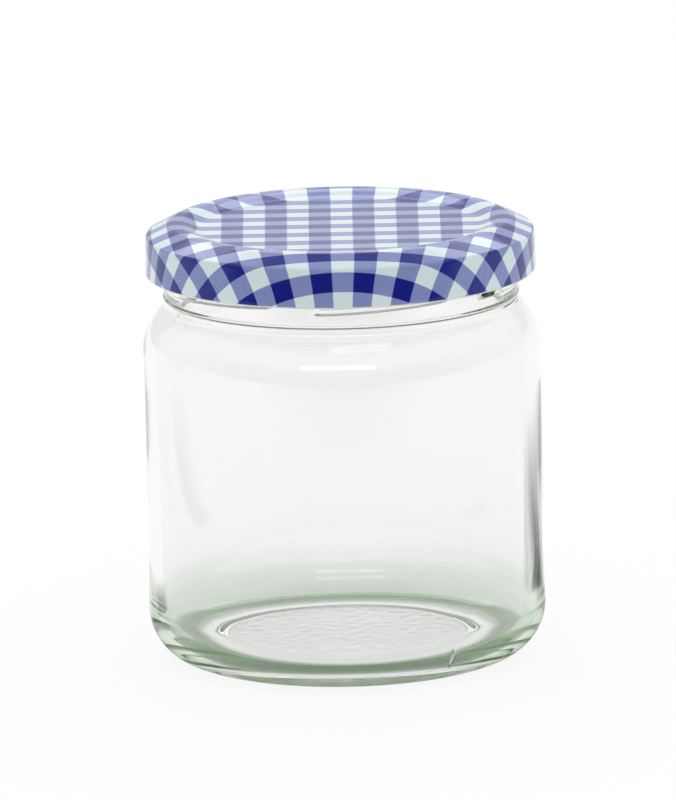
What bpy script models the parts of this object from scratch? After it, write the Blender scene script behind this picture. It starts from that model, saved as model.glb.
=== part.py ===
"""An empty twist-off jar: a clear glass jar, its steel lid and the sealing ring inside the lid.

The jar stands on the plane z = 0 with its axis on the Z axis, and the viewer looks along +Y.
Sizes are in metres and angles in degrees. A round piece is an outline of (radius, height)
points, turned once about the Z axis.
"""

import math

import bmesh
import bpy

# Flat sides round each turned piece, and the gap kept between pieces that touch
SIDES = 54
GAP = 0.0003
WELD = 1e-7
SHARP_ANGLE = 35.0

# Jar: heights from the surface that it stands on
BODY_RADIUS = 0.04315
PANEL_RADIUS = 0.04300
PANEL_BOTTOM = 0.0160
PANEL_TOP = 0.0645
WALL = 0.0030
HEEL_WIDTH = 0.0107
HEEL_HEIGHT = 0.0112
RING_INNER_RADIUS = 0.0296
PUSH_UP_RADIUS = 0.0255
PUSH_UP_HEIGHT = 0.0016
PUSH_UP_CENTRE = 0.0019
FLOOR_RADIUS = 0.0333
FLOOR_HEIGHT = 0.0044
FLOOR_CENTRE = 0.0050
INNER_HEEL_HEIGHT = 0.0080
SHOULDER_BOTTOM = 0.0680
SHOULDER_RADIUS = 0.0128
NECK_RADIUS = 0.0382
NECK_FILLET = 0.0009
RIM_TOP = 0.0938

# Thread: one short slanting ridge for each lug of the lid
LUGS = 6
RIDGE_RADIUS = 0.0401
RIDGE_HEIGHT = 0.0024
RIDGE_SLOPE = 0.0006
RIDGE_LAND = 0.0009
RIDGE_BOTTOM = 0.0823
RIDGE_SPAN = 46.0
RIDGE_START = -99.2
LEAD = 0.0064

# Lid: thin printed steel, with a sunk panel, a raised crest, a sloping shoulder and a curled edge
SHEET = 0.0003
LID_BOTTOM = 0.0847
LID_TOP = 0.0959
SKIRT_TOP_RADIUS = 0.0420
SKIRT_BOTTOM_RADIUS = 0.0423
CREST_INNER_RADIUS = 0.0350
CREST_RADIUS = 0.0362
CREST_ROUND = 0.0020
SLOPE = 25.0
CORNER_ROUND = 0.0008
PANEL_EDGE_RADIUS = 0.0298
PANEL_DEPTH = 0.0014
CURL_RADIUS = 0.00075
LUG_TIP_RADIUS = 0.0393
LUG_SPAN = 9.0
LUG_HEIGHT = 0.0012
LUG_ROUND = 0.0003
LUG_LIFT = 0.00015

# The power that makes the ends of a ridge or lug short and round
END_TAPER = 0.35

# Sealing ring: it lies on the glass rim, under the crest and shoulder of the lid
SEAL_INNER_RADIUS = 0.0348
SEAL_OUTER_RADIUS = 0.0384

# Colours
GLASS_COLOUR = (0.86, 0.93, 0.89, 1.0)
LID_COLOUR = (0.20, 0.24, 0.62, 1.0)
SEAL_COLOUR = (0.86, 0.85, 0.80, 1.0)


def clear_scene():
    for old in list(bpy.data.objects):
        bpy.data.objects.remove(old, do_unlink=True)


def curve(centre, size, start, end, steps):
    """Points on an ellipse, where 0 degrees points away from the axis and 90 degrees points up."""
    points = []
    for step in range(steps + 1):
        angle = math.radians(start + (end - start) * step / steps)
        points.append((centre[0] + size[0] * math.cos(angle), centre[1] + size[1] * math.sin(angle)))
    return points


def ease(low, high, steps):
    """Points on a smooth step from low to high, both level at their ends."""
    points = []
    for step in range(steps + 1):
        share = step / steps
        rise = (1 - math.cos(math.pi * share)) / 2
        points.append((low[0] + (high[0] - low[0]) * share, low[1] + (high[1] - low[1]) * rise))
    return points


def material(name, colour, roughness, metallic=0.0, transmission=0.0):
    made = bpy.data.materials.new(name)
    made.use_nodes = True
    shader = made.node_tree.nodes["Principled BSDF"]
    shader.inputs["Base Color"].default_value = colour
    shader.inputs["Roughness"].default_value = roughness
    shader.inputs["Metallic"].default_value = metallic
    shader.inputs["Transmission Weight"].default_value = transmission
    return made


def finished(name, shape, made_of=None):
    """An object from a bmesh, with its faces outwards and its round sides shaded smooth."""
    bmesh.ops.recalc_face_normals(shape, faces=shape.faces)
    mesh = bpy.data.meshes.new(name)
    shape.to_mesh(mesh)
    shape.free()
    piece = bpy.data.objects.new(name, mesh)
    bpy.context.scene.collection.objects.link(piece)
    if made_of:
        mesh.materials.append(made_of)
    smooth(mesh)
    return piece


def smooth(mesh):
    mesh.shade_smooth()
    mesh.set_sharp_from_angle(angle=math.radians(SHARP_ANGLE))


def turned(name, outline, made_of, ring=False):
    """An outline turned about the Z axis. It starts and ends on the axis, or is a closed ring."""
    shape = bmesh.new()
    corners = [shape.verts.new((radius, 0.0, height)) for radius, height in outline]
    edges = [shape.edges.new(pair) for pair in zip(corners, corners[1:])]
    if ring:
        edges.append(shape.edges.new((corners[-1], corners[0])))
    bmesh.ops.spin(
        shape,
        geom=corners + edges,
        axis=(0.0, 0.0, 1.0),
        cent=(0.0, 0.0, 0.0),
        angle=2 * math.pi,
        steps=SIDES,
        use_merge=True,
    )
    bmesh.ops.remove_doubles(shape, verts=shape.verts, dist=WELD)
    return finished(name, shape, made_of)


def ridge(name, section, root_radius, start, span, rise, steps):
    """A bar bent round the axis. Its section shrinks to root_radius at both ends."""
    shape = bmesh.new()
    rows = []
    for step in range(steps + 1):
        share = step / steps
        angle = math.radians(start + span * share)
        swell = math.sin(math.pi * share) ** END_TAPER
        row = []
        for radius, height in section:
            swelled = root_radius + (radius - root_radius) * swell
            place = (swelled * math.cos(angle), swelled * math.sin(angle), height + rise * share)
            row.append(shape.verts.new(place))
        rows.append(row)
    count = len(section)
    for row, following in zip(rows, rows[1:]):
        for corner in range(count):
            beside = (corner + 1) % count
            shape.faces.new((row[corner], row[beside], following[beside], following[corner]))
    bmesh.ops.remove_doubles(shape, verts=shape.verts, dist=WELD)
    return finished(name, shape)


def join(piece, others):
    """Fuses the other objects into the piece and removes them."""
    group = bpy.data.collections.new("to_join")
    bpy.context.scene.collection.children.link(group)
    for other in others:
        bpy.context.scene.collection.objects.unlink(other)
        group.objects.link(other)
    union = piece.modifiers.new("union", "BOOLEAN")
    union.operation = "UNION"
    union.operand_type = "COLLECTION"
    union.collection = group
    union.solver = "EXACT"
    bpy.context.view_layer.objects.active = piece
    bpy.ops.object.modifier_apply(modifier=union.name)
    for other in others:
        bpy.data.objects.remove(other, do_unlink=True)
    bpy.data.collections.remove(group)
    smooth(piece.data)


def jar_outline():
    """From the underside's middle, out and up to the rim, then down inside to the floor's middle."""
    shoulder_centre = (BODY_RADIUS - SHOULDER_RADIUS, SHOULDER_BOTTOM)
    across = NECK_RADIUS + NECK_FILLET - shoulder_centre[0]
    reach = SHOULDER_RADIUS + NECK_FILLET
    fillet_centre = (NECK_RADIUS + NECK_FILLET, SHOULDER_BOTTOM + math.sqrt(reach**2 - across**2))
    lean = math.degrees(math.acos(across / reach))
    rim_radius = WALL / 2
    rim_centre = (NECK_RADIUS - rim_radius, RIM_TOP - rim_radius)
    inner_shoulder = SHOULDER_RADIUS - WALL
    inner_fillet = NECK_FILLET + WALL
    inner_radius = BODY_RADIUS - WALL
    inner_heel = inner_radius - FLOOR_RADIUS

    outline = [(0.0, PUSH_UP_CENTRE)]
    outline += ease((PUSH_UP_RADIUS, PUSH_UP_HEIGHT), (RING_INNER_RADIUS, 0.0), 4)
    outline += curve((BODY_RADIUS - HEEL_WIDTH, HEEL_HEIGHT), (HEEL_WIDTH, HEEL_HEIGHT), -90, 0, 8)
    outline += [(PANEL_RADIUS, PANEL_BOTTOM), (PANEL_RADIUS, PANEL_TOP)]
    outline += curve(shoulder_centre, (SHOULDER_RADIUS, SHOULDER_RADIUS), 0, lean, 6)
    outline += curve(fillet_centre, (NECK_FILLET, NECK_FILLET), 180 + lean, 180, 3)[1:]
    outline += curve(rim_centre, (rim_radius, rim_radius), 0, 180, 6)
    outline += curve(fillet_centre, (inner_fillet, inner_fillet), 180, 180 + lean, 4)
    outline += curve(shoulder_centre, (inner_shoulder, inner_shoulder), lean, 0, 5)[1:]
    floor_edge = (FLOOR_RADIUS, FLOOR_HEIGHT + INNER_HEEL_HEIGHT)
    outline += curve(floor_edge, (inner_heel, INNER_HEEL_HEIGHT), 0, -90, 6)
    outline.append((0.0, FLOOR_CENTRE))
    return outline


def make_jar():
    glass = material("clear_glass", GLASS_COLOUR, 0.03, transmission=1.0)
    jar = turned("jar_glass", jar_outline(), glass)
    root_radius = NECK_RADIUS - WALL / 2
    section = [
        (root_radius, RIDGE_BOTTOM),
        (RIDGE_RADIUS, RIDGE_BOTTOM + RIDGE_SLOPE),
        (RIDGE_RADIUS, RIDGE_BOTTOM + RIDGE_SLOPE + RIDGE_LAND),
        (root_radius, RIDGE_BOTTOM + RIDGE_HEIGHT),
    ]
    rise = LEAD * RIDGE_SPAN / 360.0
    ridges = []
    for number in range(LUGS):
        start = RIDGE_START + number * 360.0 / LUGS
        ridges.append(ridge(f"ridge_{number}", section, root_radius, start, RIDGE_SPAN, rise, 10))
    join(jar, ridges)


def shoulder(inset):
    """From the lid's crest, down the sloping shoulder and round its corner, moved in by inset."""
    slope = math.radians(SLOPE)
    crest_centre = (CREST_RADIUS, LID_TOP - CREST_ROUND)
    across = SKIRT_TOP_RADIUS - CORNER_ROUND - CREST_RADIUS
    drop = (across * math.sin(slope) + CORNER_ROUND - CREST_ROUND) / math.cos(slope)
    corner_centre = (SKIRT_TOP_RADIUS - CORNER_ROUND, crest_centre[1] - drop)
    crest_size = CREST_ROUND - inset
    corner_size = CORNER_ROUND - inset
    crest = curve(crest_centre, (crest_size, crest_size), 90, 90 - SLOPE, 3)
    corner = curve(corner_centre, (corner_size, corner_size), 90 - SLOPE, 0, 5)
    return crest, corner


def lid_outline():
    """From the middle of the top, out and down to the curl, then up inside to the middle."""
    panel_top = LID_TOP - PANEL_DEPTH
    step = ease((PANEL_EDGE_RADIUS, panel_top), (CREST_INNER_RADIUS, LID_TOP), 6)
    curl_centre = (SKIRT_BOTTOM_RADIUS - CURL_RADIUS, LID_BOTTOM + CURL_RADIUS)
    crest, corner = shoulder(0.0)
    inner_crest, inner_corner = shoulder(SHEET)

    outline = [(0.0, panel_top)]
    outline += step + crest + corner
    outline += curve(curl_centre, (CURL_RADIUS, CURL_RADIUS), 0, -240, 7)
    outline += inner_corner[::-1] + inner_crest[::-1]
    outline += [(radius, height - SHEET) for radius, height in reversed(step)]
    outline.append((0.0, panel_top - SHEET))
    return outline


def make_lid():
    steel = material("printed_steel", LID_COLOUR, 0.25)
    lid = turned("lid_shell", lid_outline(), steel)
    root_radius = SKIRT_BOTTOM_RADIUS - CURL_RADIUS
    bottom = LID_BOTTOM + LUG_LIFT
    section = [
        (root_radius, bottom),
        (LUG_TIP_RADIUS, bottom + LUG_ROUND),
        (LUG_TIP_RADIUS, bottom + LUG_HEIGHT - LUG_ROUND),
        (root_radius, bottom + LUG_HEIGHT),
    ]
    gap_middle = RIDGE_START + RIDGE_SPAN + (360.0 / LUGS - RIDGE_SPAN) / 2
    lugs = []
    for number in range(LUGS):
        start = gap_middle - LUG_SPAN / 2 + number * 360.0 / LUGS
        lugs.append(ridge(f"lug_{number}", section, root_radius, start, LUG_SPAN, 0.0, 6))
    join(lid, lugs)


def make_seal():
    """The ring's upper side follows the lid's inner face, a gap below it."""
    rubber = material("sealing_ring", SEAL_COLOUR, 0.55)
    crest = shoulder(SHEET + GAP)[0]
    slope_top = crest[-1]
    drop = (SEAL_OUTER_RADIUS - slope_top[0]) * math.tan(math.radians(SLOPE))
    bottom = RIM_TOP + GAP
    outline = [(SEAL_INNER_RADIUS, bottom), (SEAL_OUTER_RADIUS, bottom)]
    outline.append((SEAL_OUTER_RADIUS, slope_top[1] - drop))
    outline += crest[::-1]
    outline.append((SEAL_INNER_RADIUS, crest[0][1]))
    turned("lid_seal", outline, rubber, ring=True)


clear_scene()
make_jar()
make_lid()
make_seal()
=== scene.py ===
"""The looks of an empty twist-off jar: clear glass, a printed steel lid and its sealing ring.

Sizes are in metres and angles in degrees. The jar stands at the origin and the viewer looks
along +Y, so the front of a round piece is at azimuth -90.
"""

import math

import bpy
import numpy as np
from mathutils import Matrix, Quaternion, Vector


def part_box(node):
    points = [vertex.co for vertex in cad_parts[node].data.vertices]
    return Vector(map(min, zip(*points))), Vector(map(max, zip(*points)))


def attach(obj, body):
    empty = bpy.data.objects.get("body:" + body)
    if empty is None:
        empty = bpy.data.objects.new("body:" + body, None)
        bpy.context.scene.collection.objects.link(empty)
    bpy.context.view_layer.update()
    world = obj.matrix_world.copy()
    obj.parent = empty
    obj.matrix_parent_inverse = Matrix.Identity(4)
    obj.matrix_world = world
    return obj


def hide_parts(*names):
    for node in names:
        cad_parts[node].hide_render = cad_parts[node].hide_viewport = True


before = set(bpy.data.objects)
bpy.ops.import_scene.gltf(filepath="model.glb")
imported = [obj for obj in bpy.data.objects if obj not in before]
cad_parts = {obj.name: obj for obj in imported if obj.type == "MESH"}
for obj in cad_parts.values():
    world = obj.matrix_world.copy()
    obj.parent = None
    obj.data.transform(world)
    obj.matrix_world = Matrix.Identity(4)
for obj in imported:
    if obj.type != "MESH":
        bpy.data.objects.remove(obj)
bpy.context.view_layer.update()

JAR_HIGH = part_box("jar_glass")[1]
LID_LOW, LID_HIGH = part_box("lid_shell")
SEAL_LOW, SEAL_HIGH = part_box("lid_seal")

# The photograph: its height in pixels, its scale at the jar's axis, and where that point is seen
PHOTO_HEIGHT = 800
PHOTO_SCALE = 4610.0
PIVOT_HEIGHT = 0.045
PIVOT_RIGHT = 6.3
PIVOT_BELOW = 49.3
CAMERA_DISTANCE = 3.0
CAMERA_PITCH = 12.3
CAMERA_ROLL = 1.2
SENSOR = 0.036

# Jar glass, as the solid has it
BODY_RADIUS = JAR_HIGH.y
RIM_TOP = JAR_HIGH.z
PANEL_RADIUS = BODY_RADIUS - 0.00015
PANEL_BOTTOM = 0.0160
PANEL_TOP = 0.0645
WALL = 0.0030
HEEL_WIDTH = 0.0107
HEEL_HEIGHT = 0.0112
RING_INNER_RADIUS = 0.0296
PUSH_UP_RADIUS = 0.0255
PUSH_UP_HEIGHT = 0.0016
PUSH_UP_CENTRE = 0.0019
FLOOR_RADIUS = 0.0333
FLOOR_HEIGHT = 0.0044
FLOOR_CENTRE = 0.0050
INNER_HEEL_HEIGHT = 0.0080
SHOULDER_BOTTOM = 0.0680
SHOULDER_RADIUS = 0.0128
NECK_RADIUS = 0.0382
NECK_FILLET = 0.0009

# Thread: ridges that swell out of the neck, which the lid's lugs turn under. They climb faster
# round the neck than the solid's ridges do, with the slope that the photograph shows
LUGS = 6
RIDGE_RADIUS = 0.0401
RIDGE_BOTTOM = 0.0823
RIDGE_HEIGHT = 0.0024
RIDGE_SPAN = 46.0
RIDGE_START = -99.2
RIDGE_SIDE_SHARE = 0.35
RIDGE_END_SHARE = 0.10
LEAD = 0.0100

# Marks of the mould: a fine ring round the neck, two upright seams and a pebbled underside
NECK_LINE_HEIGHT = 0.0800
NECK_LINE_WIDTH = 0.0012
NECK_LINE_RISE = 0.00040
SEAMS = ((-58.0, 0.00018), (122.0, 0.00005))
SEAM_WIDTH = 0.0008
SEAM_LOW = 0.0030
SEAM_HIGH = 0.0085
SEAM_END_SHARE = 0.3
SEAM_STEP = 0.12
PEBBLE_SIZE = 0.0038
PEBBLE_DEPTH = 0.00002
PEBBLE_EDGE = 0.0010
FROST = 0.16
FROST_DEPTH = 0.0005
RING_FROST_SHARE = 0.3
WALL_WAVE = 0.00005
WALL_SHIFT = 0.00020
WALL_END_SHARE = 0.15

# Lid
SHEET = 0.0003
LID_BOTTOM = LID_LOW.z
LID_TOP = LID_HIGH.z
SKIRT_BOTTOM_RADIUS = LID_HIGH.x
SKIRT_TOP_RADIUS = SKIRT_BOTTOM_RADIUS - 0.0003
CREST_INNER_RADIUS = 0.0350
CREST_RADIUS = 0.0362
CREST_ROUND = 0.0020
SLOPE = 25.0
CORNER_ROUND = 0.0008
PANEL_EDGE_RADIUS = 0.0298
PANEL_DEPTH = 0.0014
CURL_RADIUS = 0.00075
CURL_TURN = 240.0
LUG_TIP_RADIUS = 0.0393
LUG_SPAN = 9.0
LUG_END_SHARE = 0.3
SEAL_INNER_RADIUS = 0.0348

# Print: the widths of a blue and a white band together, the middles of a white column and a blue
# row, the soft share of a band's edge, and the pitch of the fine threads in the half-blue bands
COLUMN_PITCH = 0.00948
ROW_PITCH = 0.00877
WHITE_COLUMN = 0.00045
BLUE_ROW = -0.00044
BAND_EDGE = 0.012
THREAD_PITCH = 0.00060
WHITE = (0.73, 0.83, 0.85, 1.0)
HALF_BLUE_DARK = (0.15, 0.19, 0.46, 1.0)
HALF_BLUE_PALE = (0.32, 0.37, 0.64, 1.0)
DEEP_BLUE = (0.006, 0.011, 0.22, 1.0)
VARNISH_IOR = 1.4

# Drawing the lid stretches the sheet up to the crest and gathers it round the shoulder and skirt
STEP_SHARE = 0.52
SHOULDER_SHARE = 1.22
SKIRT_SHARE = 1.08

# Glass: its faces pass a little less than all the light, and a long way through it looks green
GLASS_IOR = 1.52
GLASS_FACE = (0.966, 0.962, 0.966, 1.0)
GLASS_TINT = (0.74, 0.88, 0.68, 1.0)
GLASS_DENSITY = 12.0
GLASS_FILM = 0.012

# Tones that each surface wanders between
LACQUER_TONES = ((0.80, 0.80, 0.76, 1.0), (0.86, 0.86, 0.83, 1.0))
SEAL_TONES = ((0.70, 0.69, 0.62, 1.0), (0.78, 0.77, 0.71, 1.0))
TABLE_TONES = ((0.11, 0.11, 0.11, 1.0), (0.12, 0.12, 0.12, 1.0))

# Steps round the axis, a tolerance for comparing lengths, and a share of a turn that spreads
# directions evenly
AROUND = 288
TINY = 1e-6
GOLDEN_SHARE = 0.381966

# Studio: the brightness of its walls and ceiling, and the directions in which one turns into the next
FRONT_WALL = 0.22
REAR_WALL = 0.86
CEILING = 0.90
FRONT_WALL_ENDS = -0.7
REAR_WALL_BEGINS = 0.6
CEILING_STARTS = 0.10
CEILING_FULL = 0.60
LIGHT_BOUNCES = 32
GLOSSY_BOUNCES = 16

# Softboxes, facing the jar: name, place, width and height, and power in watts
LIGHT_TARGET = (0.0, 0.0, 0.05)
SOFTBOXES = (
    ("rear_top_softbox", (0.0, 1.1, 1.1), (1.6, 0.5), 5.0),
    ("front_softbox", (-0.10, -1.80, 0.90), (1.5, 0.30), 3.6),
    ("overhead_softbox", (0.20, -0.60, 1.40), (0.7, 0.25), 1.0),
)

# The table gives off its own light, up to an edge in front of the jar
TABLE_HALF = 6.0
TABLE_GLOW = 0.88
TABLE_GLOW_FRONT = 0.02
TABLE_LIT_FROM = -0.40
TABLE_LIT_FULLY = -0.23

# Soft shade on the table under the jar and round its foot: where it deepens, how dark it is under
# the middle, under the heel and round it, and how far it reaches
SHADE_STARTS = 0.0304
SHADE_FULL = 0.0360
SHADE_UNDER = 0.11
SHADE_HEEL = 0.86
SHADE_ROUND = 0.42
SHADE_REACH = 0.115
SHADE_FADE_SHARE = 0.35
SHADE_EDGE = 0.001
SHADE_DROP = 0.005
SHADE_COLOUR = (0.13, 0.34, 0.09, 1.0)
SHADE_LIFT = 0.0002

# Painted shadow: dark wedges further out on the table, shown by the sides of the glass as dark strips
STRIP_SHADE_COLOUR = (0.02, 0.03, 0.02, 1.0)
STRIP_LIFT = 0.0005
STRIP_CORE_SHARE = 0.20
STRIP_BEGIN_SHARE = 0.06
STRIP_FADE_SHARES = (0.10, 0.95)
# Each wedge: name, start, bearing, reach, widths at its near and far ends, and darkness
STRIPS = (
    ("right_strip", (0.0640, 0.0335), 32.5, 0.255, (0.036, 0.150), 0.98),
    ("left_strip", (-0.0560, 0.0164), -32.0, 0.060, (0.022, 0.040), 0.75),
)


def curve(centre, size, start, end, steps):
    """Points on an ellipse, where 0 degrees points away from the axis and 90 degrees points up."""
    points = []
    for step in range(steps + 1):
        angle = math.radians(start + (end - start) * step / steps)
        points.append((centre[0] + size[0] * math.cos(angle), centre[1] + size[1] * math.sin(angle)))
    return points


def ease(low, high, steps):
    """Points on a smooth step from low to high, both level at their ends."""
    points = []
    for step in range(steps + 1):
        share = step / steps
        rise = (1 - math.cos(math.pi * share)) / 2
        points.append((low[0] + (high[0] - low[0]) * share, low[1] + (high[1] - low[1]) * rise))
    return points


def line(start, end, steps):
    """Points on a straight line, without its first point."""
    points = []
    for step in range(1, steps + 1):
        share = step / steps
        points.append((start[0] + (end[0] - start[0]) * share, start[1] + (end[1] - start[1]) * share))
    return points


def bump(distance, width):
    """1 in the middle of a smooth hump and 0 beyond half its width."""
    share = np.clip(np.abs(distance) / (width / 2), 0, 1)
    return (1 + np.cos(math.pi * share)) / 2


def plateau(share, edge):
    """1 between the ends of a span from 0 to 1, falling smoothly to 0 over edge at each end."""
    inside = np.clip(np.minimum(share, 1 - share) / edge, 0, 1)
    return inside * inside * (3 - 2 * inside)


def pebbles(x, y):
    """Rounded grains of about PEBBLE_SIZE, from -1 to 1, made of waves at uneven angles."""
    total = np.zeros_like(x)
    waves = 9
    for number in range(waves):
        angle = math.radians(number * 360.0 * GOLDEN_SHARE)
        length = PEBBLE_SIZE * (0.85 + 0.5 * (number * (1 - GOLDEN_SHARE) % 1.0))
        phase = 2.4 * number
        total += np.sin((x * math.cos(angle) + y * math.sin(angle)) * 2 * math.pi / length + phase)
    return np.tanh(total / math.sqrt(waves) * 1.5)


def angles_round(extra=()):
    """Even angles round the axis, with closer ones about each of the extra azimuths."""
    even = np.arange(AROUND) * 360.0 / AROUND
    fine = [(azimuth + step * SEAM_STEP) % 360.0 for azimuth in extra for step in range(-4, 5)]
    return np.radians(np.unique(np.round(np.concatenate([even, fine]), 4)))


def turned(name, outline, angles, moved=None, ring=False):
    """A closed mesh from (radius, height) points turned about the Z axis.

    The outline runs outwards from the axis and back to it, or is a closed ring. moved takes
    arrays of radius, height and angle and gives the new radius and height.
    """
    points = np.array(outline if ring else outline[1:-1], float)
    radius, angle = np.meshgrid(points[:, 0], angles, indexing="ij")
    height = np.repeat(points[:, 1:], len(angles), axis=1)
    if moved:
        radius, height = moved(radius, height, angle)
    rows, columns = radius.shape
    grid = np.stack([radius * np.cos(angle), radius * np.sin(angle), height], axis=-1).reshape(-1, 3)
    index = np.arange(rows * columns).reshape(rows, columns)
    beside = np.roll(index, -1, axis=1)
    above = np.roll(index, -1, axis=0)
    corner = np.roll(beside, -1, axis=0)
    last = rows if ring else rows - 1
    quads = np.stack([index[:last], beside[:last], corner[:last], above[:last]], axis=-1)
    faces = quads.reshape(-1, 4).tolist()
    if not ring:
        ends = [(0.0, 0.0, outline[0][1]), (0.0, 0.0, outline[-1][1])]
        grid = np.vstack([grid, ends])
        first_pole = rows * columns
        faces += [(first_pole, b, a) for a, b in zip(index[0], beside[0])]
        faces += [(first_pole + 1, a, b) for a, b in zip(index[-1], beside[-1])]
    mesh = bpy.data.meshes.new(name)
    mesh.from_pydata(grid.tolist(), [], faces)
    mesh.update()
    mesh.shade_smooth()
    piece = bpy.data.objects.new(name, mesh)
    bpy.context.scene.collection.objects.link(piece)
    return piece


class Nodes:
    """Short ways to add and join shader nodes in one node tree."""

    def __init__(self, tree):
        self.tree = tree

    def add(self, kind, **values):
        node = self.tree.nodes.new(kind)
        for key, value in values.items():
            setattr(node, key, value)
        return node

    def link(self, source, target):
        self.tree.links.new(source, target)

    def feed(self, socket, value):
        """Links the socket where the value comes from another node, and sets it otherwise."""
        if isinstance(value, bpy.types.NodeSocket):
            self.link(value, socket)
        else:
            socket.default_value = value

    def coordinates(self, kind):
        """Where each shaded point is, such as in its object's own coordinates."""
        return self.add("ShaderNodeTexCoord").outputs[kind]

    def split(self, vector):
        """The X, Y and Z of a vector."""
        node = self.add("ShaderNodeSeparateXYZ")
        self.link(vector, node.inputs[0])
        return node.outputs["X"], node.outputs["Y"], node.outputs["Z"]

    def math(self, operation, first, second=0.0, third=0.0):
        node = self.add("ShaderNodeMath", operation=operation)
        for socket, value in zip(node.inputs, (first, second, third)):
            self.feed(socket, value)
        return node.outputs[0]

    def length(self, across, along):
        """How far a point is from the origin of the two directions."""
        squares = self.math("ADD", self.math("POWER", across, 2.0), self.math("POWER", along, 2.0))
        return self.math("SQRT", squares)

    def range(self, value, from_low, from_high, to_low, to_high):
        """A smooth change from to_low to to_high while the value goes from from_low to from_high."""
        node = self.add("ShaderNodeMapRange", interpolation_type="SMOOTHSTEP")
        names = ("Value", "From Min", "From Max", "To Min", "To Max")
        for name, limit in zip(names, (value, from_low, from_high, to_low, to_high)):
            self.feed(node.inputs[name], limit)
        return node.outputs["Result"]

    def mix(self, share, first, second):
        """The first colour at a share of 0 and the second at 1."""
        node = self.add("ShaderNodeMix", data_type="RGBA")
        for socket, value in zip((node.inputs[0], node.inputs[6], node.inputs[7]), (share, first, second)):
            self.feed(socket, value)
        return node.outputs[2]

    def noise(self, scale, detail=2.0):
        """Soft patches from 0 to 1, scale of them to a metre."""
        node = self.add("ShaderNodeTexNoise")
        node.inputs["Scale"].default_value = scale
        node.inputs["Detail"].default_value = detail
        self.link(self.coordinates("Object"), node.inputs["Vector"])
        return node.outputs["Fac"]


class Material(Nodes):
    """A new material, with its nodes round one Principled shader."""

    def __init__(self, name):
        self.material = bpy.data.materials.new(name)
        self.material.use_nodes = True
        super().__init__(self.material.node_tree)
        self.shader = self.tree.nodes["Principled BSDF"]
        self.output = self.tree.nodes["Material Output"]

    def set(self, **values):
        """Feeds the shader's sockets, each named with _ for its spaces."""
        for key, value in values.items():
            self.feed(self.shader.inputs[key.replace("_", " ")], value)

    def relief(self, height, depth):
        """Fine bumps of the given depth, on top of the shape."""
        node = self.add("ShaderNodeBump")
        node.inputs["Distance"].default_value = depth
        self.link(height, node.inputs["Height"])
        self.link(node.outputs["Normal"], self.shader.inputs["Normal"])


def glass_material():
    """Clear container glass. Its faint green shows only where light goes a long way through it.

    The base colour is just under white, for the slight grey of the clear wall in the photograph.
    """
    made = Material("jar_clear_glass")
    film = made.range(made.noise(90.0, 3.0), 0.35, 0.75, 0.0, GLASS_FILM)
    across, along, height = made.split(made.coordinates("Object"))
    frost_top = PUSH_UP_CENTRE + FROST_DEPTH
    low = made.range(height, frost_top, frost_top + FROST_DEPTH, FROST, 0.0)
    radius = made.length(across, along)
    inward = made.range(radius, PUSH_UP_RADIUS, RING_INNER_RADIUS, 1.0, RING_FROST_SHARE)
    frost = made.math("MULTIPLY", low, inward)
    made.set(
        Base_Color=GLASS_FACE,
        Transmission_Weight=1.0,
        IOR=GLASS_IOR,
        Roughness=made.math("MAXIMUM", film, frost),
    )
    tint = made.add("ShaderNodeVolumeAbsorption")
    tint.inputs["Color"].default_value = GLASS_TINT
    tint.inputs["Density"].default_value = GLASS_DENSITY
    made.link(tint.outputs["Volume"], made.output.inputs["Volume"])
    return made.material


def band(made, place, middle, pitch):
    """0 in the white bands and 1 in the blue ones, across one direction of the print."""
    turns = made.math("MULTIPLY_ADD", place, 1.0 / pitch, 0.5 - middle / pitch)
    from_middle = made.math("ABSOLUTE", made.math("SUBTRACT", made.math("FRACT", turns), 0.5))
    return made.range(from_middle, 0.25 - BAND_EDGE, 0.25 + BAND_EDGE, 0.0, 1.0)


def print_material():
    """Gingham printed on white, under a gloss varnish."""
    made = Material("lid_printed_steel")
    flat = made.add("ShaderNodeUVMap", uv_map="flat_sheet")
    right, away = made.split(flat.outputs["UV"])[:2]
    column = band(made, right, WHITE_COLUMN, COLUMN_PITCH)
    row = band(made, away, BLUE_ROW + ROW_PITCH / 2, ROW_PITCH)

    slant = made.math("ADD", right, away)
    hatch = made.math("SINE", made.math("MULTIPLY", slant, 2 * math.pi / THREAD_PITCH))
    worn = made.math("MULTIPLY_ADD", made.noise(2600.0, 2.0), 1.2, -0.6)
    threads = made.range(made.math("ADD", made.math("MULTIPLY", hatch, 0.5), worn), -0.8, 0.8, 0.0, 1.0)
    half_blue = made.mix(threads, HALF_BLUE_DARK, HALF_BLUE_PALE)

    either = made.math("MAXIMUM", column, row)
    both = made.math("MULTIPLY", column, row)
    printed = made.mix(both, made.mix(either, WHITE, half_blue), DEEP_BLUE)
    made.set(
        Base_Color=printed,
        Roughness=made.range(made.noise(340.0, 4.0), 0.3, 0.7, 0.10, 0.16),
        IOR=VARNISH_IOR,
    )
    made.relief(made.noise(700.0, 2.0), 0.00002)
    return made.material


def lacquer_material():
    """The white lacquer inside the lid."""
    made = Material("lid_white_lacquer")
    tone = made.mix(made.noise(120.0, 3.0), *LACQUER_TONES)
    made.set(Base_Color=tone, Roughness=made.range(made.noise(260.0, 3.0), 0.3, 0.7, 0.22, 0.34))
    made.relief(made.noise(900.0, 2.0), 0.00001)
    return made.material


def seal_material():
    """The satin, off-white sealing compound."""
    made = Material("lid_sealing_ring")
    tone = made.mix(made.noise(300.0, 3.0), *SEAL_TONES)
    made.set(Base_Color=tone, Roughness=made.range(made.noise(500.0, 3.0), 0.3, 0.7, 0.45, 0.6))
    made.relief(made.noise(1500.0, 3.0), 0.00002)
    return made.material


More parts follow.
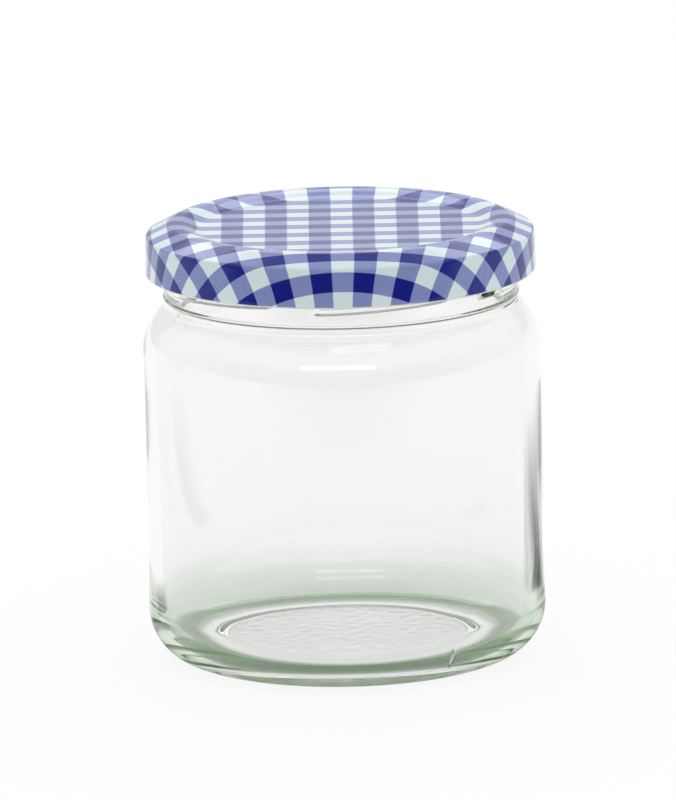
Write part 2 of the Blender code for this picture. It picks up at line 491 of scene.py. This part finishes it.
def jar_outline():
    """From the underside's middle, out and up to the rim, then down inside to the floor's middle."""
    shoulder_centre = (BODY_RADIUS - SHOULDER_RADIUS, SHOULDER_BOTTOM)
    across = NECK_RADIUS + NECK_FILLET - shoulder_centre[0]
    reach = SHOULDER_RADIUS + NECK_FILLET
    fillet_centre = (NECK_RADIUS + NECK_FILLET, SHOULDER_BOTTOM + math.sqrt(reach**2 - across**2))
    lean = math.degrees(math.acos(across / reach))
    rim_radius = WALL / 2
    rim_centre = (NECK_RADIUS - rim_radius, RIM_TOP - rim_radius)
    inner_shoulder = SHOULDER_RADIUS - WALL
    inner_fillet = NECK_FILLET + WALL
    inner_radius = BODY_RADIUS - WALL
    inner_heel = inner_radius - FLOOR_RADIUS
    floor_edge = (FLOOR_RADIUS, FLOOR_HEIGHT + INNER_HEEL_HEIGHT)

    outline = [(0.0, PUSH_UP_CENTRE)]
    outline += line((0.0, PUSH_UP_CENTRE), (PUSH_UP_RADIUS, PUSH_UP_HEIGHT), 36)
    outline += ease((PUSH_UP_RADIUS, PUSH_UP_HEIGHT), (RING_INNER_RADIUS, 0.0), 12)[1:]
    outline += curve((BODY_RADIUS - HEEL_WIDTH, HEEL_HEIGHT), (HEEL_WIDTH, HEEL_HEIGHT), -90, 0, 28)
    outline += line(outline[-1], (PANEL_RADIUS, PANEL_BOTTOM), 3)
    outline += line(outline[-1], (PANEL_RADIUS, PANEL_TOP), 8)
    outline += curve(shoulder_centre, (SHOULDER_RADIUS, SHOULDER_RADIUS), 0, lean, 20)
    outline += curve(fillet_centre, (NECK_FILLET, NECK_FILLET), 180 + lean, 180, 8)[1:]
    outline += line(outline[-1], (NECK_RADIUS, rim_centre[1]), 80)
    outline += curve(rim_centre, (rim_radius, rim_radius), 0, 180, 16)[1:]
    outline += line(outline[-1], (NECK_RADIUS - WALL, fillet_centre[1]), 10)
    outline += curve(fillet_centre, (inner_fillet, inner_fillet), 180, 180 + lean, 12)[1:]
    outline += curve(shoulder_centre, (inner_shoulder, inner_shoulder), lean, 0, 18)[1:]
    outline += line(outline[-1], (inner_radius, floor_edge[1]), 16)
    outline += curve(floor_edge, (inner_heel, INNER_HEEL_HEIGHT), 0, -90, 24)[1:]
    outline += line(outline[-1], (0.0, FLOOR_CENTRE), 10)
    return outline


def ridges(radius, height, angle):
    """How far the thread stands out of the neck at each point of its outer side, from 0 to 1."""
    outside = (radius > NECK_RADIUS - TINY) & (height > RIDGE_BOTTOM - 0.001)
    total = np.zeros_like(radius)
    degrees = np.degrees(angle)
    for number in range(LUGS):
        along = ((degrees - RIDGE_START - number * 360.0 / LUGS) % 360.0) / RIDGE_SPAN
        middle = RIDGE_BOTTOM + RIDGE_HEIGHT / 2 + LEAD * RIDGE_SPAN / 360.0 * along
        section = plateau((height - middle) / RIDGE_HEIGHT + 0.5, RIDGE_SIDE_SHARE)
        total += section * plateau(along, RIDGE_END_SHARE)
    return np.where(outside, total, 0.0)


def jar_shape(radius, height, angle):
    """The thread, the mould's marks and the slight waves of a blown inner wall."""
    outer_side = np.zeros_like(radius, bool)
    outer_side[: np.argmax(height[:, 0])] = True
    inner_side = ~outer_side & (height > FLOOR_HEIGHT) & (height < NECK_LINE_HEIGHT)
    thread = (RIDGE_RADIUS - NECK_RADIUS) * ridges(radius, height, angle) * outer_side
    neck_line = NECK_LINE_RISE * bump(height - NECK_LINE_HEIGHT, NECK_LINE_WIDTH) * outer_side
    seams = np.zeros_like(radius)
    for azimuth, rise in SEAMS:
        turn = (angle - math.radians(azimuth) + math.pi) % (2 * math.pi) - math.pi
        seams += rise * bump(turn * radius, SEAM_WIDTH)
    seams *= outer_side * plateau((height - SEAM_LOW) / (SEAM_HIGH - SEAM_LOW), SEAM_END_SHARE)
    waves = np.sin(3 * angle + 60 * height) + np.sin(2 * angle - 95 * height + 1.0)
    waves = (WALL_WAVE * waves - WALL_SHIFT * np.cos(angle)) * inner_side
    waves *= plateau((height - FLOOR_HEIGHT) / (NECK_LINE_HEIGHT - FLOOR_HEIGHT), WALL_END_SHARE)
    grains = pebbles(radius * np.cos(angle), radius * np.sin(angle))
    underside = outer_side & (height > PUSH_UP_HEIGHT - TINY) & (radius < PUSH_UP_RADIUS)
    edge = np.clip((PUSH_UP_RADIUS - radius) / PEBBLE_EDGE, 0, 1)
    lifted = PEBBLE_DEPTH * grains * edge * underside
    return radius + thread + neck_line + seams + waves, height + lifted


def make_jar():
    """The glass, with closer steps round it at its two seams."""
    angles = angles_round([seam[0] for seam in SEAMS])
    jar = turned("jar_body", jar_outline(), angles, jar_shape)
    jar.data.materials.append(glass_material())
    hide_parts("jar_glass")
    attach(jar, "root")


def shoulder(inset, steps):
    """From the lid's crest, down the sloping shoulder and round its corner, moved in by inset."""
    slope = math.radians(SLOPE)
    crest_centre = (CREST_RADIUS, LID_TOP - CREST_ROUND)
    across = SKIRT_TOP_RADIUS - CORNER_ROUND - CREST_RADIUS
    drop = (across * math.sin(slope) + CORNER_ROUND - CREST_ROUND) / math.cos(slope)
    corner_centre = (SKIRT_TOP_RADIUS - CORNER_ROUND, crest_centre[1] - drop)
    crest_size = CREST_ROUND - inset
    corner_size = CORNER_ROUND - inset
    crest = curve(crest_centre, (crest_size, crest_size), 90, 90 - SLOPE, steps)
    corner = curve(corner_centre, (corner_size, corner_size), 90 - SLOPE, 0, steps)
    return crest, line(crest[-1], corner[0], steps) + corner[1:]


def lid_outline():
    """From the middle of the top, out and down round the curl, then up inside to the middle.

    It comes with the number of points that carry the print.
    """
    panel_top = LID_TOP - PANEL_DEPTH
    step = ease((PANEL_EDGE_RADIUS, panel_top), (CREST_INNER_RADIUS, LID_TOP), 18)
    curl_centre = (SKIRT_BOTTOM_RADIUS - CURL_RADIUS, LID_BOTTOM + CURL_RADIUS)
    curl = curve(curl_centre, (CURL_RADIUS, CURL_RADIUS), 0, -CURL_TURN, 24)
    crest, corner = shoulder(0.0, 10)
    inner_crest, inner_corner = shoulder(SHEET, 8)

    outline = [(0.0, panel_top)]
    outline += line(outline[0], step[0], 24)
    outline += step[1:] + crest + corner
    outline += line(outline[-1], curl[0], 16)
    outline += curl[1:4]
    printed = len(outline)
    outline += curl[4:]
    outline += line(outline[-1], inner_corner[-1], 12)
    outline += inner_corner[-2::-1] + inner_crest[::-1]
    outline += [(radius, height - SHEET) for radius, height in reversed(step)]
    outline += line(outline[-1], (0.0, panel_top - SHEET), 12)
    return outline, printed


def flat_radii(outline):
    """The radius that each point had in the flat printed sheet, before it was drawn."""
    skirt_top = shoulder(0.0, 1)[1][-1][1]
    area = 0.0
    radii = [0.0]
    for (radius, height), (next_radius, next_height) in zip(outline, outline[1:]):
        share = 1.0
        if radius > PANEL_EDGE_RADIUS - TINY:
            share = STEP_SHARE
        if radius > CREST_RADIUS - TINY:
            share = SHOULDER_SHARE
        if height < skirt_top + TINY:
            share = SKIRT_SHARE
        length = math.hypot(next_radius - radius, next_height - height)
        area += (radius + next_radius) * length * share
        radii.append(math.sqrt(area))
    return radii


def lid_shape(radius, height, angle):
    """The lugs: short stretches where the curl is pressed in towards the neck."""
    curl_radius = SKIRT_BOTTOM_RADIUS - CURL_RADIUS
    depth = curl_radius - CURL_RADIUS - LUG_TIP_RADIUS
    first = RIDGE_START + RIDGE_SPAN + (360.0 / LUGS - RIDGE_SPAN) / 2 - LUG_SPAN / 2
    degrees = np.degrees(angle)
    low = height < LID_BOTTOM + 2 * CURL_RADIUS + TINY
    share = np.clip((curl_radius - radius) / CURL_RADIUS, 0, 1) * low
    pressed = np.zeros_like(radius)
    for number in range(LUGS):
        along = ((degrees - first - number * 360.0 / LUGS) % 360.0) / LUG_SPAN
        pressed += plateau(along, LUG_END_SHARE)
    return radius - depth * share * pressed, height


def make_lid():
    """The lid, printed outside and lacquered inside, with the flat sheet's places as its UV map."""
    outline, printed = lid_outline()
    angles = angles_round()
    lid = turned("lid_cover", outline, angles, lid_shape)
    mesh = lid.data
    mesh.materials.append(print_material())
    mesh.materials.append(lacquer_material())

    points = np.zeros(len(mesh.vertices) * 3)
    mesh.vertices.foreach_get("co", points)
    points = points.reshape(-1, 3)
    rows = len(outline) - 2
    flat = np.append(np.repeat(flat_radii(outline)[1:-1], len(angles)), [0.0, 0.0])
    azimuth = np.arctan2(points[:, 1], points[:, 0])
    sheet = np.stack([flat * np.cos(azimuth), flat * np.sin(azimuth)], axis=1)
    corners = np.zeros(len(mesh.loops), np.int32)
    mesh.loops.foreach_get("vertex_index", corners)
    layer = mesh.uv_layers.new(name="flat_sheet")
    layer.data.foreach_set("uv", sheet[corners].ravel().astype(np.float32))

    inside = np.zeros(len(mesh.polygons), np.int32)
    bands = (rows - 1) * len(angles)
    inside[(printed - 2) * len(angles) : bands] = 1
    inside[bands + len(angles) :] = 1
    mesh.polygons.foreach_set("material_index", inside)
    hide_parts("lid_shell")
    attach(lid, "root")


def seal_outline():
    """A flat bottom on the glass rim and a top that follows the lid's inner face."""
    gap = SEAL_LOW.z - RIM_TOP
    crest = shoulder(SHEET + gap, 10)[0]
    slope_top = crest[-1]
    drop = (SEAL_HIGH.x - slope_top[0]) * math.tan(math.radians(SLOPE))
    outer_top = (SEAL_HIGH.x, slope_top[1] - drop)
    outline = [(SEAL_INNER_RADIUS, SEAL_LOW.z)]
    outline += line(outline[0], (SEAL_HIGH.x, SEAL_LOW.z), 12)
    outline += line(outline[-1], outer_top, 3)
    outline += line(outer_top, slope_top, 6)
    outline += crest[-2::-1]
    outline += line(crest[0], (SEAL_INNER_RADIUS, crest[0][1]), 4)
    return outline


def make_seal():
    """The sealing ring, between the glass rim and the lid."""
    seal = turned("seal_ring", seal_outline(), angles_round(), ring=True)
    seal.data.materials.append(seal_material())
    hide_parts("lid_seal")
    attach(seal, "root")


def square(half, height):
    """The corners of a level square about the Z axis."""
    return [(-half, -half, height), (half, -half, height), (half, half, height), (-half, half, height)]


def flat_sheet(name, corners, made):
    """One flat face of the stage, which isn't part of the jar."""
    mesh = bpy.data.meshes.new(name)
    mesh.from_pydata([tuple(corner) for corner in corners], [], [(0, 1, 2, 3)])
    mesh.materials.append(made.material)
    sheet = bpy.data.objects.new(name, mesh)
    bpy.context.scene.collection.objects.link(sheet)
    return sheet


def make_floor():
    """A white table that gives off its own light."""
    made = Material("table_white")
    back = made.split(made.coordinates("Object"))[1]
    tone = made.mix(made.noise(3.0), *TABLE_TONES)
    made.set(
        Base_Color=tone,
        Roughness=0.9,
        Specular_IOR_Level=0.0,
        Emission_Color=(1.0, 1.0, 1.0, 1.0),
        Emission_Strength=made.range(back, TABLE_LIT_FROM, TABLE_LIT_FULLY, TABLE_GLOW_FRONT, TABLE_GLOW),
    )
    flat_sheet("floor", square(TABLE_HALF, 0.0), made)


def not_seen_directly(sheet):
    """Leaves a sheet to reflections and to rays through the glass. It shades nothing."""
    sheet.visible_camera = False
    sheet.visible_diffuse = False
    sheet.visible_shadow = False


def shade_nodes(name, colour):
    """A matt dark material, whose alpha its caller sets."""
    made = Material(name)
    made.set(Base_Color=colour, Roughness=1.0, Specular_IOR_Level=0.0)
    return made


def make_strip(name, start, bearing, reach, widths, darkness):
    """A soft wedge of painted shade lying on the table, from start away along bearing, in degrees off +Y.

    widths are its widths at its near and far ends, and it fades out towards its sides and ends.
    """
    made = shade_nodes(name, STRIP_SHADE_COLOUR)
    wedge = made.add("ShaderNodeUVMap", uv_map="wedge")
    sideways, outward = made.split(wedge.outputs["UV"])[:2]
    from_middle = made.math("ABSOLUTE", made.math("SUBTRACT", sideways, 0.5))
    beside = made.range(from_middle, STRIP_CORE_SHARE, 0.5, 1.0, 0.0)
    begin = made.range(outward, 0.0, STRIP_BEGIN_SHARE, 0.0, 1.0)
    fade = made.range(outward, *STRIP_FADE_SHARES, darkness, 0.0)
    made.set(Alpha=made.math("MULTIPLY", made.math("MULTIPLY", beside, begin), fade))

    turn = math.radians(bearing)
    along = Vector((math.sin(turn), math.cos(turn), 0.0))
    side = Vector((-along.y, along.x, 0.0))
    near = Vector((start[0], start[1], STRIP_LIFT))
    far = near + along * reach
    near_side = side * widths[0] / 2
    far_side = side * widths[1] / 2
    sheet = flat_sheet(name, [near - near_side, near + near_side, far + far_side, far - far_side], made)
    layer = sheet.data.uv_layers.new(name="wedge")
    for loop, place_in_wedge in zip(layer.data, ((0, 0), (1, 0), (1, 1), (0, 1))):
        loop.uv = place_in_wedge
    not_seen_directly(sheet)


def make_foot_shade():
    """The shade that a jar standing on a table leaves under it and round its foot."""
    made = shade_nodes("foot_shade", SHADE_COLOUR)
    across, along = made.split(made.coordinates("Object"))[:2]
    radius = made.length(across, along)
    under = made.range(radius, SHADE_STARTS, SHADE_FULL, SHADE_UNDER, SHADE_HEEL)
    beside_heel = BODY_RADIUS - SHADE_EDGE
    beyond = made.range(radius, beside_heel, beside_heel + SHADE_DROP, 1.0, SHADE_ROUND / SHADE_HEEL)
    fade = made.range(radius, SHADE_FADE_SHARE * SHADE_REACH, SHADE_REACH, 1.0, 0.0)
    made.set(Alpha=made.math("MULTIPLY", made.math("MULTIPLY", under, beyond), fade))
    not_seen_directly(flat_sheet("foot_shade", square(SHADE_REACH, SHADE_LIFT), made))


def make_light(name, place, size, power):
    """A rectangular softbox that faces the jar."""
    light = bpy.data.lights.new(name, "AREA")
    light.shape = "RECTANGLE"
    light.size = size[0]
    light.size_y = size[1]
    light.energy = power
    lamp = bpy.data.objects.new(name, light)
    lamp.location = place
    lamp.rotation_euler = (Vector(LIGHT_TARGET) - Vector(place)).to_track_quat("-Z", "Y").to_euler()
    bpy.context.scene.collection.objects.link(lamp)


def make_world():
    """White studio walls and ceiling: bright overhead, dim low down, dimmer on the viewer's side."""
    world = bpy.data.worlds.new("studio")
    world.use_nodes = True
    made = Nodes(world.node_tree)
    back, up = made.split(made.coordinates("Generated"))[1:]
    wall = made.range(back, FRONT_WALL_ENDS, REAR_WALL_BEGINS, FRONT_WALL, REAR_WALL)
    background = made.tree.nodes["Background"]
    background.inputs["Color"].default_value = (1.0, 1.0, 1.0, 1.0)
    made.link(made.range(up, CEILING_STARTS, CEILING_FULL, wall, CEILING), background.inputs["Strength"])
    bpy.context.scene.world = world


def make_studio():
    """The table, walls, lights and shade, and how many times light is followed through the glass."""
    make_floor()
    make_world()
    for softbox in SOFTBOXES:
        make_light(*softbox)
    make_foot_shade()
    for strip in STRIPS:
        make_strip(*strip)
    scene = bpy.context.scene
    scene.view_settings.view_transform = "Standard"
    scene.cycles.max_bounces = LIGHT_BOUNCES
    scene.cycles.transmission_bounces = LIGHT_BOUNCES
    scene.cycles.glossy_bounces = GLOSSY_BOUNCES


def make_camera():
    """Looks down at the jar as the photograph does, from far enough away to match its outline."""
    pitch = math.radians(CAMERA_PITCH)
    roll = math.radians(CAMERA_ROLL)
    forward = Vector((0.0, math.cos(pitch), -math.sin(pitch)))
    up = Vector((0.0, math.sin(pitch), math.cos(pitch)))
    right = Vector((1.0, 0.0, 0.0))
    picture_right = right * math.cos(roll) - up * math.sin(roll)
    picture_up = right * math.sin(roll) + up * math.cos(roll)
    pivot = Vector((0.0, 0.0, PIVOT_HEIGHT))
    middle = pivot + (picture_up * PIVOT_BELOW - picture_right * PIVOT_RIGHT) / PHOTO_SCALE

    camera = bpy.data.objects.new("camera", bpy.data.cameras.new("camera"))
    camera.data.sensor_width = SENSOR * 1000
    camera.data.lens = PHOTO_SCALE * CAMERA_DISTANCE / PHOTO_HEIGHT * SENSOR * 1000
    camera.data.clip_start = 0.1
    camera.data.clip_end = 50.0
    camera.location = pivot - forward * CAMERA_DISTANCE
    aim = (middle - camera.location).to_track_quat("-Z", "Y")
    camera.rotation_mode = "QUATERNION"
    camera.rotation_quaternion = aim @ Quaternion((0.0, 0.0, 1.0), -roll)
    bpy.context.scene.collection.objects.link(camera)
    bpy.context.scene.camera = camera


make_jar()
make_lid()
make_seal()
make_studio()
make_camera()
